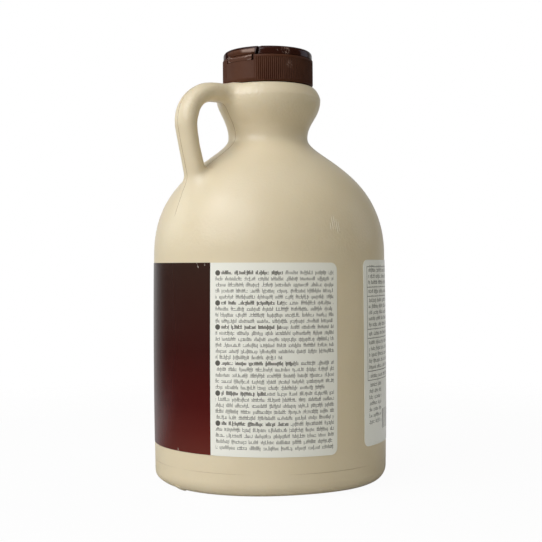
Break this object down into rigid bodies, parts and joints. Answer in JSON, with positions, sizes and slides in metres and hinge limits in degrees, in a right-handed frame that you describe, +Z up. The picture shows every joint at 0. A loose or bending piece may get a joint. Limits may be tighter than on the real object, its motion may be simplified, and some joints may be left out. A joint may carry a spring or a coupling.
{
  "type": "syrup jug",
  "caption": "Round opaque plastic syrup jug with a loop handle, pinched neck, brown flip-top screw cap and one glossy wrap-round label; shut and full.",
  "frame": {"origin": "on the jug's axis, at the surface it stands on", "axes": "+Z up along the jug's axis, +X towards the handle, which lies in the XZ plane; the label's front faces about -Y"},
  "size_m": [0.1048, 0.1048, 0.1925],
  "materials": {
    "jug": "satin blow-moulded polyethylene, cream",
    "cap": "satin moulded polypropylene, dark brown, finely ribbed",
    "cap_gloss": "glossy moulded polypropylene, dark brown",
    "label": "glossy self-adhesive film: a dark panel and two pale print panels"
  },
  "bodies": {
    "root": {"jug": "jug", "cap_base": "cap", "cap_lid": "cap_gloss", "label": "label"}
  },
  "joints": []
}
